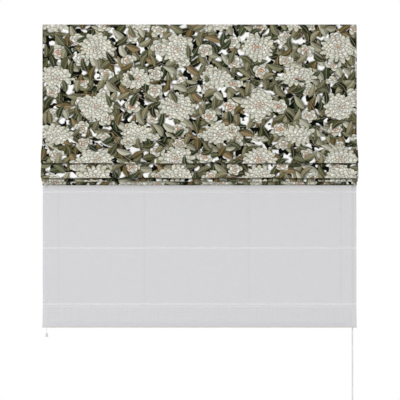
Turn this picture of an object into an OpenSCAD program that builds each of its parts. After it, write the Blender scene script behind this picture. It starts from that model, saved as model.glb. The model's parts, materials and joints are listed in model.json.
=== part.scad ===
// Double roman blind: a printed front cloth, gathered in three pleats, and a sheer cloth that hangs
// behind it, both on one headrail. Millimetres. +Z is up, the front faces -Y, and the wall is the plane
// y = 0. The origin is the middle of the outer brackets' four screw holes.

/* [Cloths] */
// Width of the front cloth
front_width = 1300;
// Width of the sheer cloth
sheer_width = 1307;
// Thickness of the front cloth
front_thick = 1;
// Thickness of the sheer cloth
sheer_thick = 0.6;
// Height of the front cloth's top edge
cloth_top = 22;
// Height of the first rod of either cloth
first_rod = -204.3;
// Distance from one rod to the next where a cloth hangs flat
panel = 233.3;
// Depth of the hem below the last rod
hem_drop = 97;

/* [Pleats] */
// How far the two large pleats stand out from the flat cloth
pleat_out = 46;
// How far the small pleat stands out
small_out = 27;
// How far the pleats' bottom edges lie below the crease where the gathering starts
pleat_drops = [116.5, 176.5, 190.5];
// How far the three gathered rods lie below that crease
rod_drops = [40, 84, 112];
// How far the gathered cloth's bottom edge lies below that crease
gather_drop = 206;
// How far the sheer's hem stands out at its bottom edge
hem_lean = 13;

/* [Cords and chain] */
// Distance of the outer lift cords from the cloths' side edges
cord_inset = 60;
// Distance of each inner lift cord from the outer one on its side
inner_gaps = [359, 384];
// Thickness of a lift cord
lift_cord = 1;
// Thickness of the pull cord
pull_cord_thick = 1.5;
// Place of the pull cord and of the chain, from the middle
control_x = 640;
// Height of the bell's top edge
bell_top = -1260;
// Height of the bell
bell_height = 16.8;
// Diameter of the bell's rim
bell_wide = 13;
// Beads on each straight strand of the chain
strand_beads = 260;
// Diameter of a bead
bead = 4.5;

/* [Rail] */
// Length of the headrail without its end caps
rail_length = 1297;
// Wall of the headrail
wall = 1.5;
// Distance of the outer brackets from the middle
bracket_x = 480;
// Distance between the two screw holes of a bracket
screw_gap = 16;
// Diameter of a screw hole
screw_hole = 4.6;

/* [Hidden] */
$fn = 48;

// The rail's section, from the wall to the front.
rear_out = -5;
rear_in = rear_out - wall;
chamber = 26.5;
web_rear = rear_in - chamber;
web_front = web_rear - wall;
front_in = web_front - chamber;
front_out = front_in - wall;
rail_bottom = -24;
rail_top = 7.5;
front_edge = cloth_top - 2;
fin_bottom = rail_bottom - 20;
lip = 3;
groove_half = 10;
groove_gap = 6;
groove_top = rail_top + 5.5;
groove_y = (web_rear + web_front) / 2;
rail_half = rail_length / 2;

// The places of the lift cords, and with them of the spools, cradles and rings.
cord_span = min(front_width, sheer_width);
outer_cord = cord_span / 2 - cord_inset;
cord_x = [-outer_cord, inner_gaps[0] - outer_cord, outer_cord - inner_gaps[1], outer_cord];

// The shafts, spools and cradles.
shaft_z = -8;
axis_in = 12;
sheer_axis = rear_in - axis_in;
front_axis = web_front - axis_in;
shaft_w = 6;
shaft_past = 24;
end_play = 0.3;
drum_r = 8.5;
cord_gap = 0.05;
lift_r = drum_r + lift_cord / 2 + cord_gap;
flange_r = 10.5;
drum_half = 12;
flange = 1.5;
journal_r = 5;
journal_past = 1;
journal_gap = 0.06;
spool_play = 0.5;
cheek_near = drum_half + flange + spool_play;
cheek = 3;
floor_thick = 2;
floor_top = rail_bottom + wall + floor_thick;
neck_half = 4.2;
cord_hole = 4;

// The tapes and the two cloths' planes.
tape = 1.5;
tape_high = 18;
y_front = front_out - 2 * tape - front_thick / 2;
y_sheer = web_front - 2 * tape - sheer_thick / 2;
sheer_top = rail_bottom - 1;

// The rods, their pockets and their rings.
rod_r = 2;
pocket_in = 2.2;
pocket_out = 2.8;
pocket_sunk = 0.4;
ring_out = 5;
ring_wire = 0.8;
ring_clear = 0.2;
stem_r = 1.1;
stem_gap = 0.3;
rod_in = 10;
front_rod_y = y_front + front_thick / 2 + pocket_out - pocket_sunk;
sheer_rod_y = y_sheer + sheer_thick / 2 + pocket_out - pocket_sunk;
ring_off = pocket_out + ring_out + ring_clear;
front_cord_y = front_axis - lift_r;
sheer_cord_y = sheer_axis - lift_r;

// Heights of the rods and of the gathered pleats.
crease = first_rod - panel;
pleat_rods = concat([first_rod, crease], [for (d = rod_drops) crease - d]);
sheer_rods = [for (i = [0 : 4]) first_rod - i * panel];
front_bottom = crease - gather_drop;
sheer_bottom = sheer_rods[4] - hem_drop;

// The pull cord's reel and guide pulley.
reel_r = 8.25;
pull_r = reel_r + pull_cord_thick / 2 + cord_gap;
reel_half = 4.5;
reel_flange = 1;
reel_room = 1.5;
pulley_y = sheer_axis - pull_r;
pulley_half = 3.5;
pulley_rim = flange_r - 0.5;
pulley_seat = 1.2;
pulley_lip = 2.2;
pin_r = 2;
unit_half = reel_half + reel_room;
unit_near = control_x - unit_half;
unit_far = control_x + unit_half;
unit_wall = 2;
unit_room = 1;

// The chain.
pitch = 6;
pockets = 10;
wheel_r = pockets * pitch / (2 * PI);
string_r = 0.7;
string_gap = 0.1;
bead_gap = 0.4;
seat_gap = 0.1;
wheel_half = 3.7;
wheel_sunk = 0.6;
wheel_lip = 1;
wheel_rim = wheel_r - wheel_sunk;
chain_slot = [3.5, 2.4];
strand_top = shaft_z - pitch / 2;
strand_long = strand_beads * pitch;

function bez(a, b, c, d, n) = [for (i = [1 : n]) let (t = i / n, s = 1 - t)
  s * s * s * a + 3 * s * s * t * b + 3 * s * t * t * c + t * t * t * d];
function arc(c, r, from, to, n) = [for (i = [1 : n]) let (a = from + (to - from) * i / n)
  c + r * [cos(a), sin(a)]];
function heading(p, i) = let (v = p[min(i + 1, len(p) - 1)] - p[max(i - 1, 0)]) v / norm(v);
function beside(p, d) = [for (i = [0 : len(p) - 1]) let (u = heading(p, i)) p[i] + d * [-u[1], u[0]]];
function turned(p) = [for (i = [len(p) - 1 : -1 : 0]) p[i]];

// The path of the front cloth's middle line, as distance out from the flat cloth and height.
big_turn = 5.5;
small_turn = 4.5;
rod_turn = 2;
hem_turn = 2.3;
hem_out = 3;
hem_flat = 14;
hem_seam = 24;
za = crease - pleat_drops[0] + big_turn + front_thick / 2;
zb = crease - pleat_drops[1] + big_turn + front_thick / 2;
zc = crease - pleat_drops[2] + small_turn + front_thick / 2;
zh = front_bottom + hem_turn + front_thick / 2;
back_a = pleat_out - 2 * big_turn;
back_c = small_out - 2 * small_turn;
r2 = pleat_rods[2];
r3 = pleat_rods[3];
r4 = pleat_rods[4];
front_path = concat(
  [[0, cloth_top], [0, (cloth_top + crease) / 2], [0, crease]],
  bez([0, crease], [0, crease - 45], [pleat_out, crease - 55], [pleat_out, za], 16),
  arc([pleat_out - big_turn, za], big_turn, 0, -180, 10),
  bez([back_a, za], [back_a, za + 25], [20, r2 + rod_turn], [rod_turn, r2 + rod_turn], 12),
  arc([rod_turn, r2], rod_turn, 90, 270, 6),
  bez([rod_turn, r2 - rod_turn], [12, r2 - rod_turn], [pleat_out, zb + 19], [pleat_out, zb], 16),
  arc([pleat_out - big_turn, zb], big_turn, 0, -180, 10),
  bez([back_a, zb], [back_a, zb + 29], [20, r3 + rod_turn], [rod_turn, r3 + rod_turn], 12),
  arc([rod_turn, r3], rod_turn, 90, 270, 6),
  bez([rod_turn, r3 - rod_turn], [10, r3 - rod_turn], [small_out, zc + 19], [small_out, zc], 14),
  arc([small_out - small_turn, zc], small_turn, 0, -180, 8),
  bez([back_c, zc], [back_c, zc + 19], [12, r4 + rod_turn], [rod_turn, r4 + rod_turn], 10),
  arc([rod_turn, r4], rod_turn, 90, 270, 6),
  bez([rod_turn, r4 - rod_turn], [hem_out + 0.5, r4 - rod_turn], [hem_out, r4 - 6],
      [hem_out, r4 - hem_flat], 5),
  [[hem_out, zh]],
  arc([hem_out - hem_turn, zh], hem_turn, 0, -180, 8),
  [[hem_out - 2 * hem_turn, r4 - hem_seam]]
);

// The path of the sheer's middle line, in the same way.
hem_below = 9;
hem_back = 66;
hem_top = sheer_rods[4] - hem_below;
lean_angle = atan2(hem_lean, hem_top - sheer_bottom);
hem_gap = 4;
lean_dir = [sin(lean_angle), -cos(lean_angle)];
lean_side = [-cos(lean_angle), -sin(lean_angle)];
hem_start = [0, hem_top];
hem_end = hem_start + lean_dir * ((hem_top - sheer_bottom) / cos(lean_angle) - hem_gap / 2 - sheer_thick);
sheer_path = concat(
  [[0, sheer_top], [0, (sheer_top + hem_top) / 2], hem_start, hem_end],
  arc(hem_end + lean_side * hem_gap / 2, hem_gap / 2, lean_angle, lean_angle - 180, 8),
  [hem_end + lean_side * hem_gap - lean_dir * hem_back]
);

// Draws a section, y across and z up, and makes it long in x.
module along_x(from, to) {
  translate([from, 0, 0]) rotate([90, 0, 90]) linear_extrude(to - from) children();
}

module bar_x(from, to, y, z, r) {
  translate([from, y, z]) rotate([0, 90, 0]) cylinder(r = r, h = to - from);
}

module box(x0, x1, y0, y1, z0, z1) {
  translate([x0, y0, z0]) cube([x1 - x0, y1 - y0, z1 - z0]);
}

module patch(y0, y1, z0, z1) {
  translate([y0, z0]) square([y1 - y0, z1 - z0]);
}

// A ribbon of a given thickness along a path of distances out and heights.
module ribbon(path, thick, y) {
  p = [for (q = path) [y - q[0], q[1]]];
  polygon(concat(beside(p, thick / 2), turned(beside(p, -thick / 2))));
}

module rail_section() {
  patch(rear_in, rear_out, rail_bottom, rail_top);
  patch(front_out, front_in, rail_bottom, front_edge);
  patch(front_out, rear_out, rail_top - wall, rail_top);
  patch(web_front, web_rear, fin_bottom, rail_top);
  for (y = [rear_in - lip, web_rear, web_front - lip, front_in])
    patch(y - 0.01, y + lip + 0.01, rail_bottom, rail_bottom + wall);
  for (s = [-1, 1])
    translate([groove_y, 0]) scale([s, 1]) {
      patch(groove_half, groove_half + wall, rail_top - 0.1, groove_top);
      patch(groove_gap, groove_half + 0.1, groove_top - wall, groove_top);
    }
}

module headrail() {
  color([0.93, 0.93, 0.92]) difference() {
    along_x(-rail_half, rail_half) rail_section();
    // Room for the cord unit at the left end, through the web.
    box(-rail_half - 1, -unit_near + unit_wall + unit_room, front_in + 0.01, rear_in - 0.01, fin_bottom - 1,
        rail_top - wall);
    // Room for the chain at the right end, through the rear chamber's lips.
    box(unit_near - unit_wall - unit_room, rail_half + 1, web_rear + 0.01, rear_in - 0.01, rail_bottom - 1,
        rail_bottom + wall + 1);
  }
}

cap_thick = 2;
plug_long = 12;

module end_cap(side) {
  color([0.9, 0.9, 0.89]) {
    along_x(side > 0 ? rail_half : -rail_half - cap_thick, side > 0 ? rail_half + cap_thick : -rail_half) {
      patch(front_out, rear_out, rail_bottom, rail_top);
      patch(front_out, front_in, rail_top - 0.1, front_edge);
      patch(groove_y - groove_half - wall, groove_y + groove_half + wall, rail_top - 0.1, groove_top);
    }
    // A plug in the rail's top groove.
    along_x(side > 0 ? rail_half - plug_long : -rail_half - 0.1,
            side > 0 ? rail_half + 0.1 : -rail_half + plug_long)
      patch(groove_y - groove_half, groove_y + groove_half, rail_top, groove_top - wall);
  }
}

module end_cap_left() end_cap(-1);
module end_cap_right() end_cap(1);

module hook_tape_front() {
  color([0.86, 0.86, 0.85]) along_x(-rail_half, rail_half)
    patch(front_out - tape, front_out, front_edge - tape_high, front_edge);
}

module loop_tape_front() {
  color([0.9, 0.9, 0.88]) along_x(-rail_half, rail_half)
    patch(front_out - 2 * tape, front_out - tape, front_edge - tape_high, front_edge);
}

tape_left = -unit_near + unit_wall + unit_room;

module hook_tape_sheer() {
  color([0.86, 0.86, 0.85]) along_x(tape_left, rail_half)
    patch(web_front - tape, web_front, fin_bottom, fin_bottom + tape_high);
}

module loop_tape_sheer() {
  color([0.9, 0.9, 0.88]) along_x(tape_left, rail_half)
    patch(web_front - 2 * tape, web_front - tape, fin_bottom, fin_bottom + tape_high);
}

arm_thick = 2;
arm_half = 16;
arm_past = 16;
screw_edge = 8;
latch_r = 4;
cam_play = 0.5;
cam_lift = 0.9;
cam_high = 3;
lever_play = 0.05;
lever_thick = 2;
lever_long = 19;
lever_half = 3.5;
knob_r = 6.5;

module bracket(x) {
  color([0.82, 0.82, 0.83]) translate([x, 0, 0]) difference() {
    union() {
      box(-arm_half, arm_half, -arm_thick, 0, -screw_gap / 2 - screw_edge, groove_top + arm_thick);
      box(-arm_half, arm_half, groove_y - arm_past, -arm_thick / 2, groove_top, groove_top + arm_thick);
    }
    for (z = [-screw_gap / 2, screw_gap / 2])
      translate([0, 0.5, z]) rotate([90, 0, 0]) cylinder(d = screw_hole, h = arm_thick + 1);
    translate([0, groove_y, groove_top - 1]) cylinder(r = latch_r + journal_gap, h = arm_thick + 2);
  }
}

module bracket_left() bracket(-bracket_x);
module bracket_centre() bracket(0);
module bracket_right() bracket(bracket_x);

// A cam that locks under the lips of the rail's groove, its stem through the bracket, and its lever.
module latch(x) {
  color([0.35, 0.36, 0.37]) translate([x, groove_y, 0]) {
    translate([0, 0, rail_top + cam_lift]) intersection() {
      cylinder(r = groove_half - cam_play, h = cam_high);
      translate([cam_play - groove_gap, -2 * groove_half, -1])
        cube([2 * (groove_gap - cam_play), 4 * groove_half, cam_high + 2]);
    }
    translate([0, 0, rail_top + 1]) cylinder(r = latch_r, h = groove_top + arm_thick - rail_top + 1);
    translate([0, 0, groove_top + arm_thick + lever_play]) {
      cylinder(r = knob_r, h = lever_thick);
      translate([0, -lever_half, 0]) cube([lever_long, 2 * lever_half, lever_thick]);
      translate([lever_long, 0, 0]) cylinder(r = lever_half, h = lever_thick);
    }
  }
}

module latch_left() latch(-bracket_x);
module latch_centre() latch(0);
module latch_right() latch(bracket_x);

module shaft(from, to, y) {
  color([0.7, 0.71, 0.73]) box(from, to, y - shaft_w / 2, y + shaft_w / 2, shaft_z - shaft_w / 2,
                               shaft_z + shaft_w / 2);
}

module front_shaft() shaft(-unit_far - unit_wall + end_play, cord_x[3] + shaft_past, front_axis);
module sheer_shaft() shaft(cord_x[0] - shaft_past, unit_far + unit_wall - end_play, sheer_axis);

// A wheel or spool that sits on a square shaft, from half of its outline as heights and radii.
module on_shaft(x, y, half_outline) {
  translate([x, y, shaft_z]) rotate([0, 90, 0]) difference() {
    rotate_extrude() polygon(concat([[0, half_outline[len(half_outline) - 1][0]]],
      [for (p = turned(half_outline)) [p[1], p[0]]],
      [for (p = half_outline) [p[1], -p[0]]],
      [[0, -half_outline[len(half_outline) - 1][0]]]));
    cube([shaft_w, shaft_w, 3 * half_outline[len(half_outline) - 1][0]], center = true);
  }
}

module spool(i, y) {
  color([0.95, 0.95, 0.93]) on_shaft(cord_x[i], y, [
    [drum_half, drum_r], [drum_half, flange_r], [drum_half + flange, flange_r],
    [drum_half + flange, journal_r], [cheek_near + cheek + journal_past, journal_r]
  ]);
}

module front_spool_1() spool(0, front_axis);
module front_spool_2() spool(1, front_axis);
module front_spool_3() spool(2, front_axis);
module front_spool_4() spool(3, front_axis);
module sheer_spool_1() spool(0, sheer_axis);
module sheer_spool_2() spool(1, sheer_axis);
module sheer_spool_3() spool(2, sheer_axis);
module sheer_spool_4() spool(3, sheer_axis);

// A plastic cradle that stands on the rail's lips and carries a spool by its two journals.
module cradle(i, y) {
  far = cheek_near + cheek;
  color([0.88, 0.88, 0.86]) translate([cord_x[i], y, 0]) difference() {
    union() {
      box(-far, far, axis_in - chamber, axis_in, rail_bottom + wall, floor_top);
      for (s = [-1, 1])
        box(s > 0 ? cheek_near : -far, s > 0 ? far : -cheek_near, axis_in - chamber, axis_in,
            floor_top - 0.1, rail_top - wall);
    }
    bar_x(-far - 1, far + 1, 0, shaft_z, journal_r + journal_gap);
    box(-far - 1, far + 1, -neck_half, neck_half, shaft_z, rail_top);
    translate([0, -lift_r, rail_bottom]) cylinder(d = cord_hole, h = 10);
  }
}

module front_cradle_1() cradle(0, front_axis);
module front_cradle_2() cradle(1, front_axis);
module front_cradle_3() cradle(2, front_axis);
module front_cradle_4() cradle(3, front_axis);
module sheer_cradle_1() cradle(0, sheer_axis);
module sheer_cradle_2() cradle(1, sheer_axis);
module sheer_cradle_3() cradle(2, sheer_axis);
module sheer_cradle_4() cradle(3, sheer_axis);

module chain_sprocket() {
  groove = string_r + string_gap;
  color([0.93, 0.93, 0.92]) difference() {
    on_shaft(control_x, sheer_axis, [
      [groove, wheel_r - groove], [groove, wheel_rim], [bead / 2 + bead_gap, wheel_rim],
      [bead / 2 + bead_gap, wheel_r + wheel_lip], [wheel_half, wheel_r + wheel_lip],
      [wheel_half, journal_r], [unit_half + unit_wall - end_play, journal_r]
    ]);
    for (i = [0 : pockets - 1])
      translate([control_x, sheer_axis, shaft_z]) rotate([i * 360 / pockets, 0, 0])
        translate([0, wheel_r, 0]) rotate([0, 90, 0]) sphere(r = bead / 2 + seat_gap);
  }
}

// Two cheeks with bearings, and a floor on the rail's lips with the ways out for the chain.
module chain_housing() {
  y0 = web_rear;
  y1 = rear_in;
  color([0.88, 0.88, 0.86]) difference() {
    union() {
      box(unit_near - unit_wall, unit_near, y0, y1, rail_bottom, rail_top - wall);
      box(unit_far, unit_far + unit_wall, y0, y1, rail_bottom, rail_top - wall);
      box(unit_near - 0.1, unit_far + 0.1, y0, y1, rail_bottom, rail_bottom + floor_thick);
    }
    bar_x(unit_near - 20, unit_far + 20, sheer_axis, shaft_z, journal_r + journal_gap);
    for (s = [-1, 1])
      translate([0, sheer_axis + s * wheel_r, 0])
        box(control_x - chain_slot[0], control_x + chain_slot[0], -chain_slot[1], chain_slot[1],
            rail_bottom - 1, rail_bottom + floor_thick + 1);
  }
}

// Half a turn of the chain, open downwards, with a little of the string at both ends.
module chain_turn() {
  rotate([90, 0, 90]) {
    rotate_extrude(angle = 180) translate([wheel_r, 0]) circle(r = string_r);
    for (i = [0 : pockets / 2])
      rotate([0, 0, i * 360 / pockets]) translate([wheel_r, 0, 0]) sphere(r = bead / 2);
    for (s = [-1, 1])
      translate([s * wheel_r, 0, 0]) rotate([90, 0, 0]) cylinder(r = string_r, h = pitch / 2);
  }
}

// A straight strand: the string with its beads, turned as one outline.
module chain_strand() {
  r = bead / 2;
  rotate_extrude() polygon(concat([[0, 0]], [[string_r, 0]],
    [for (i = [0 : strand_beads - 1], k = [[string_r, -0.95], [0.7 * r, -0.7], [r, -0.16], [r, 0.16],
                                           [0.7 * r, 0.7], [string_r, 0.95]])
      [k[0], -(i + 0.5) * pitch - k[1] * r]],
    [[string_r, -strand_long], [0, -strand_long]]));
}

module bead_chain() {
  color([0.9, 0.89, 0.87]) {
    translate([control_x, sheer_axis, shaft_z]) chain_turn();
    for (s = [-1, 1])
      translate([control_x, sheer_axis + s * wheel_r, strand_top]) chain_strand();
    translate([control_x, sheer_axis, strand_top - strand_long - pitch / 2]) rotate([180, 0, 0])
      chain_turn();
  }
}

// The frame of the pull cord's reel and guide pulley, across both chambers at the left end.
module cord_unit() {
  y0 = front_in;
  y1 = rear_in;
  color([0.88, 0.88, 0.86]) {
    difference() {
      union() {
        for (x = [-unit_far - unit_wall, -unit_near])
          box(x, x + unit_wall, y0, y1, rail_bottom, rail_top - wall);
        box(-unit_far - 0.1, -unit_near + 0.1, y0, y1, rail_bottom, rail_bottom + floor_thick);
      }
      bar_x(-unit_far - 20, -unit_near + 20, front_axis, shaft_z, journal_r + journal_gap);
      translate([-control_x, sheer_axis, rail_bottom - 1]) cylinder(d = cord_hole, h = floor_thick + 3);
    }
    // The pin that the guide pulley turns on.
    bar_x(-unit_far - 0.1, -unit_near + 0.1, pulley_y, shaft_z, pin_r);
  }
}

module cord_reel() {
  color([0.93, 0.93, 0.92]) on_shaft(-control_x, front_axis, [
    [reel_half, reel_r], [reel_half, flange_r], [reel_half + reel_flange, flange_r],
    [reel_half + reel_flange, journal_r], [unit_half + unit_wall - end_play, journal_r]
  ]);
}

module guide_pulley() {
  color([0.93, 0.93, 0.92]) translate([-control_x, pulley_y, shaft_z]) rotate([0, 90, 0])
    rotate_extrude() polygon([
      [pin_r + journal_gap, -pulley_half], [pulley_rim, -pulley_half], [pulley_rim, -pulley_lip],
      [reel_r, -pulley_seat], [reel_r, pulley_seat], [pulley_rim, pulley_lip], [pulley_rim, pulley_half],
      [pin_r + journal_gap, pulley_half]
    ]);
}

knot_r = 2;
knot_drop = 6;
lift_knot_r = 1.6;
lift_knot_drop = 3;

module pull_cord() {
  r = pull_cord_thick / 2;
  z = shaft_z + pull_r;
  color([0.94, 0.93, 0.91]) {
    translate([-control_x, front_axis, z]) rotate([-90, 0, 0]) cylinder(r = r, h = pulley_y - front_axis);
    translate([-control_x, pulley_y, shaft_z]) rotate([90, 0, 90]) rotate_extrude(angle = 90)
      translate([pull_r, 0]) circle(r = r);
    translate([-control_x, sheer_axis, bell_top - knot_drop])
      cylinder(r = r, h = shaft_z - bell_top + knot_drop);
    // The knot inside the bell.
    translate([-control_x, sheer_axis, bell_top - knot_drop]) sphere(r = knot_r);
  }
}

bell_neck = 2.6;
bell_wall = 1.2;
bell_crown = 2.6;
bell_hole_gap = 0.3;

module cord_bell() {
  h = bell_height;
  w = bell_wide / 2;
  bore = pull_cord_thick / 2 + bell_hole_gap;
  color([0.8, 0.8, 0.8]) translate([-control_x, sheer_axis, bell_top]) rotate_extrude() polygon(concat(
    [[bore, 0], [bell_neck, 0]],
    bez([bell_neck, 0], [bell_neck + 1.6, -1], [0.62 * w, -0.5 * h], [w, -0.93 * h], 10),
    [[w, -h], [w - bell_wall, -h]],
    bez([w - bell_wall, -h], [0.52 * w, -0.6 * h], [0.46 * w, -0.35 * h],
        [bell_neck + 0.4, -bell_crown], 8),
    [[bore, -bell_crown]]));
}

module lift_cords(y, end) {
  color([0.94, 0.94, 0.93]) for (x = cord_x) {
    translate([x, y, end - lift_knot_drop]) cylinder(r = lift_cord / 2, h = shaft_z - end + lift_knot_drop);
    // The knot under the last ring.
    translate([x, y, end - lift_knot_drop]) sphere(r = lift_knot_r);
  }
}

module front_lift_cords() lift_cords(front_cord_y, pleat_rods[4]);
module sheer_lift_cords() lift_cords(sheer_cord_y, sheer_rods[4]);

// Holes in the pockets where the rings' stems come through.
module stem_holes(rods, y) {
  half = stem_r + stem_gap;
  for (z = rods, x = cord_x)
    box(x - half, x + half, y + 0.5, y + pocket_out + 0.5, z - half, z + half);
}

module pockets_of(rods, y, half) {
  for (z = rods)
    along_x(-half, half) translate([y, z]) difference() {
      circle(r = pocket_out);
      circle(r = pocket_in);
    }
}

module front_fabric() {
  half = front_width / 2;
  color([0.56, 0.56, 0.48]) difference() {
    union() {
      along_x(-half, half) ribbon(front_path, front_thick, y_front);
      // The seam that closes the hem's pocket.
      along_x(-half, half)
        ribbon([[hem_out - 2 * hem_turn, r4 - hem_seam - 0.5], [hem_out, r4 - hem_flat - 1]], front_thick,
               y_front);
      pockets_of(pleat_rods, front_rod_y, half);
    }
    stem_holes(pleat_rods, front_rod_y);
  }
}

module sheer_fabric() {
  half = sheer_width / 2;
  back = sheer_path[len(sheer_path) - 1];
  color([0.95, 0.95, 0.96, 0.6]) difference() {
    union() {
      along_x(-half, half) ribbon(sheer_path, sheer_thick, y_sheer);
      along_x(-half, half) ribbon([back + lean_dir * 0.5, hem_start + lean_dir * 8], sheer_thick, y_sheer);
      pockets_of(sheer_rods, sheer_rod_y, half);
    }
    stem_holes(sheer_rods, sheer_rod_y);
  }
}

// A rod with the rings that the lift cords run through, each on a short stem.
module rod(y, z, half) {
  color([0.9, 0.9, 0.88]) {
    bar_x(-half, half, y, z, rod_r);
    for (x = cord_x) {
      translate([x, y, z]) rotate([-90, 0, 0]) cylinder(r = stem_r, h = ring_off - ring_out + ring_wire);
      translate([x, y + ring_off, z]) rotate_extrude() translate([ring_out - ring_wire, 0])
        circle(r = ring_wire);
    }
  }
}

module front_rod(i) rod(front_rod_y, pleat_rods[i], front_width / 2 - rod_in);
module sheer_rod(i) rod(sheer_rod_y, sheer_rods[i], sheer_width / 2 - rod_in);
module front_rod_1() front_rod(0);
module front_rod_2() front_rod(1);
module front_rod_3() front_rod(2);
module front_rod_4() front_rod(3);
module front_rod_5() front_rod(4);
module sheer_rod_1() sheer_rod(0);
module sheer_rod_2() sheer_rod(1);
module sheer_rod_3() sheer_rod(2);
module sheer_rod_4() sheer_rod(3);
module sheer_rod_5() sheer_rod(4);

// The flat bars in the hems, and how far each ends inside its cloth's side edges.
bar_high = 20;
bar_thick = 2.8;
bar_play = 0.3;
front_bar_in = 12;
sheer_bar_in = 45;

module front_bar() {
  half = front_width / 2 - front_bar_in;
  y_bar = y_front - hem_out + hem_turn;
  color([0.75, 0.76, 0.77])
    box(-half, half, y_bar - bar_thick / 2, y_bar + bar_thick / 2, zh - bar_play, zh + bar_high);
}

module sheer_bar() {
  half = sheer_width / 2 - sheer_bar_in;
  low = hem_end + lean_side * hem_gap / 2 - lean_dir * bar_play;
  color([0.75, 0.76, 0.77])
    translate([0, y_sheer - low[0], low[1]]) rotate([-lean_angle, 0, 0])
      box(-half, half, -bar_thick / 2, bar_thick / 2, 0, bar_high);
}

headrail();
end_cap_left();
end_cap_right();
hook_tape_front();
loop_tape_front();
hook_tape_sheer();
loop_tape_sheer();
bracket_left();
bracket_centre();
bracket_right();
latch_left();
latch_centre();
latch_right();
front_shaft();
sheer_shaft();
front_spool_1();
front_spool_2();
front_spool_3();
front_spool_4();
sheer_spool_1();
sheer_spool_2();
sheer_spool_3();
sheer_spool_4();
front_cradle_1();
front_cradle_2();
front_cradle_3();
front_cradle_4();
sheer_cradle_1();
sheer_cradle_2();
sheer_cradle_3();
sheer_cradle_4();
chain_sprocket();
chain_housing();
bead_chain();
cord_unit();
cord_reel();
guide_pulley();
pull_cord();
cord_bell();
front_lift_cords();
sheer_lift_cords();
front_fabric();
sheer_fabric();
front_rod_1();
front_rod_2();
front_rod_3();
front_rod_4();
front_rod_5();
sheer_rod_1();
sheer_rod_2();
sheer_rod_3();
sheer_rod_4();
sheer_rod_5();
front_bar();
sheer_bar();
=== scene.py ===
import json
import math

import bpy
import numpy as np
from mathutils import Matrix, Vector


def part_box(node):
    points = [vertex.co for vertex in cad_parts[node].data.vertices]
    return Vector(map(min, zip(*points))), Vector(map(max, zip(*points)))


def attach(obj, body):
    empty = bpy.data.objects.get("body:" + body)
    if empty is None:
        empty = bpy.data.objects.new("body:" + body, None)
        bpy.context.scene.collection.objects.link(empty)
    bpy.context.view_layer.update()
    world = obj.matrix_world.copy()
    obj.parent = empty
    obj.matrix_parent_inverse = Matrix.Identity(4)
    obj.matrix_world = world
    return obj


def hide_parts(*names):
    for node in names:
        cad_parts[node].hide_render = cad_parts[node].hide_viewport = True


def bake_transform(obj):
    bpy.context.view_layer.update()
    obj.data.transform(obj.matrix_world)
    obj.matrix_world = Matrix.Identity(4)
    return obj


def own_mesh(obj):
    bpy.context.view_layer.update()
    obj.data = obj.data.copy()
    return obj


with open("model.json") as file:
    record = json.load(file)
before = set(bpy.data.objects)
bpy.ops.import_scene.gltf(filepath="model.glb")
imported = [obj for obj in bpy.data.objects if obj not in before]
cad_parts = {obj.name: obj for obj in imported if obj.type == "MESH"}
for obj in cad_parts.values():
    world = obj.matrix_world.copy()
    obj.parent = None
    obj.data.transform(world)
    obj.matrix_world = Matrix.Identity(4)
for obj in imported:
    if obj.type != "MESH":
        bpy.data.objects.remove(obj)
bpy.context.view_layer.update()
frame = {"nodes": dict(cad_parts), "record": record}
nodes = frame["nodes"]

# A double roman blind: a printed cotton cloth, half raised in pleats, hangs in front of a sheer cloth.
# Sizes are in millimetres, and MM makes metres of them.

MM = 0.001
PI = math.pi
FULL_TURN = 2 * PI
X, Y, Z = range(3)
WHITE = (1.0, 1.0, 1.0, 1.0)


# Sizes and places that follow the solids.


def extent(node, axis):
    """A solid's lowest and highest place along an axis."""
    return [round(corner[axis] / MM, 3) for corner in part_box(node)]


def centre(node, axis):
    return round(sum(extent(node, axis)) / 2, 3)


ROD_NUMBERS = range(1, 6)
SPOOL_NUMBERS = range(1, 5)
FRONT_THICK, SHEER_THICK = 1.0, 0.6
# From the back of a cloth to the axis of its rods.
ROD_BEHIND = 2.4

FRONT_HALF = extent("front_fabric", X)[1]
FRONT_BOTTOM, FRONT_TOP = extent("front_fabric", Z)
FRONT_Y = extent("loop_tape_front", Y)[0] - FRONT_THICK / 2
FRONT_RODS = [centre(f"front_rod_{i}", Z) for i in ROD_NUMBERS]
FRONT_ROD_Y = FRONT_Y + FRONT_THICK / 2 + ROD_BEHIND
FRONT_CORD_Y = centre("front_lift_cords", Y)
# The front cloth is gathered below its second rod.
CREASE = FRONT_RODS[1]

SHEER_HALF = extent("sheer_fabric", X)[1]
SHEER_BOTTOM, SHEER_TOP = extent("sheer_fabric", Z)
SHEER_Y = extent("loop_tape_sheer", Y)[0] - SHEER_THICK / 2
SHEER_RODS = [centre(f"sheer_rod_{i}", Z) for i in ROD_NUMBERS]
SHEER_ROD_Y = SHEER_Y + SHEER_THICK / 2 + ROD_BEHIND
SHEER_CORD_Y = centre("sheer_lift_cords", Y)
HEM_BELOW_ROD = 9.0
HEM_TOP = SHEER_RODS[-1] - HEM_BELOW_ROD

CORD_X = [centre(f"front_spool_{i}", X) for i in SPOOL_NUMBERS]
CONTROL_X = centre("bead_chain", X)
SHAFT_Z = centre("sheer_shaft", Z)
FRONT_AXIS = centre("front_shaft", Y)
SHEER_AXIS = centre("sheer_shaft", Y)
PULLEY_Y = centre("guide_pulley", Y)

JOINTS = {joint["name"]: joint for joint in frame["record"]["behaviour"]["joints"]}
SHEER_RISE = JOINTS["sheer_lift"]["range_m"][1]


# Shader trees, with numbers that can be added and multiplied.


def rgb(r, g, b):
    """A colour written as 0 to 255 for the screen, as the linear values that shaders take."""
    parts = [c / 255 for c in (r, g, b)]
    linear = [c / 12.92 if c <= 0.04045 else ((c + 0.055) / 1.055) ** 2.4 for c in parts]
    return (*linear, 1.0)


def toned(colour, by):
    """A colour made darker or paler by a factor."""
    return (*(min(1.0, c * by) for c in colour[:3]), 1.0)


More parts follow.
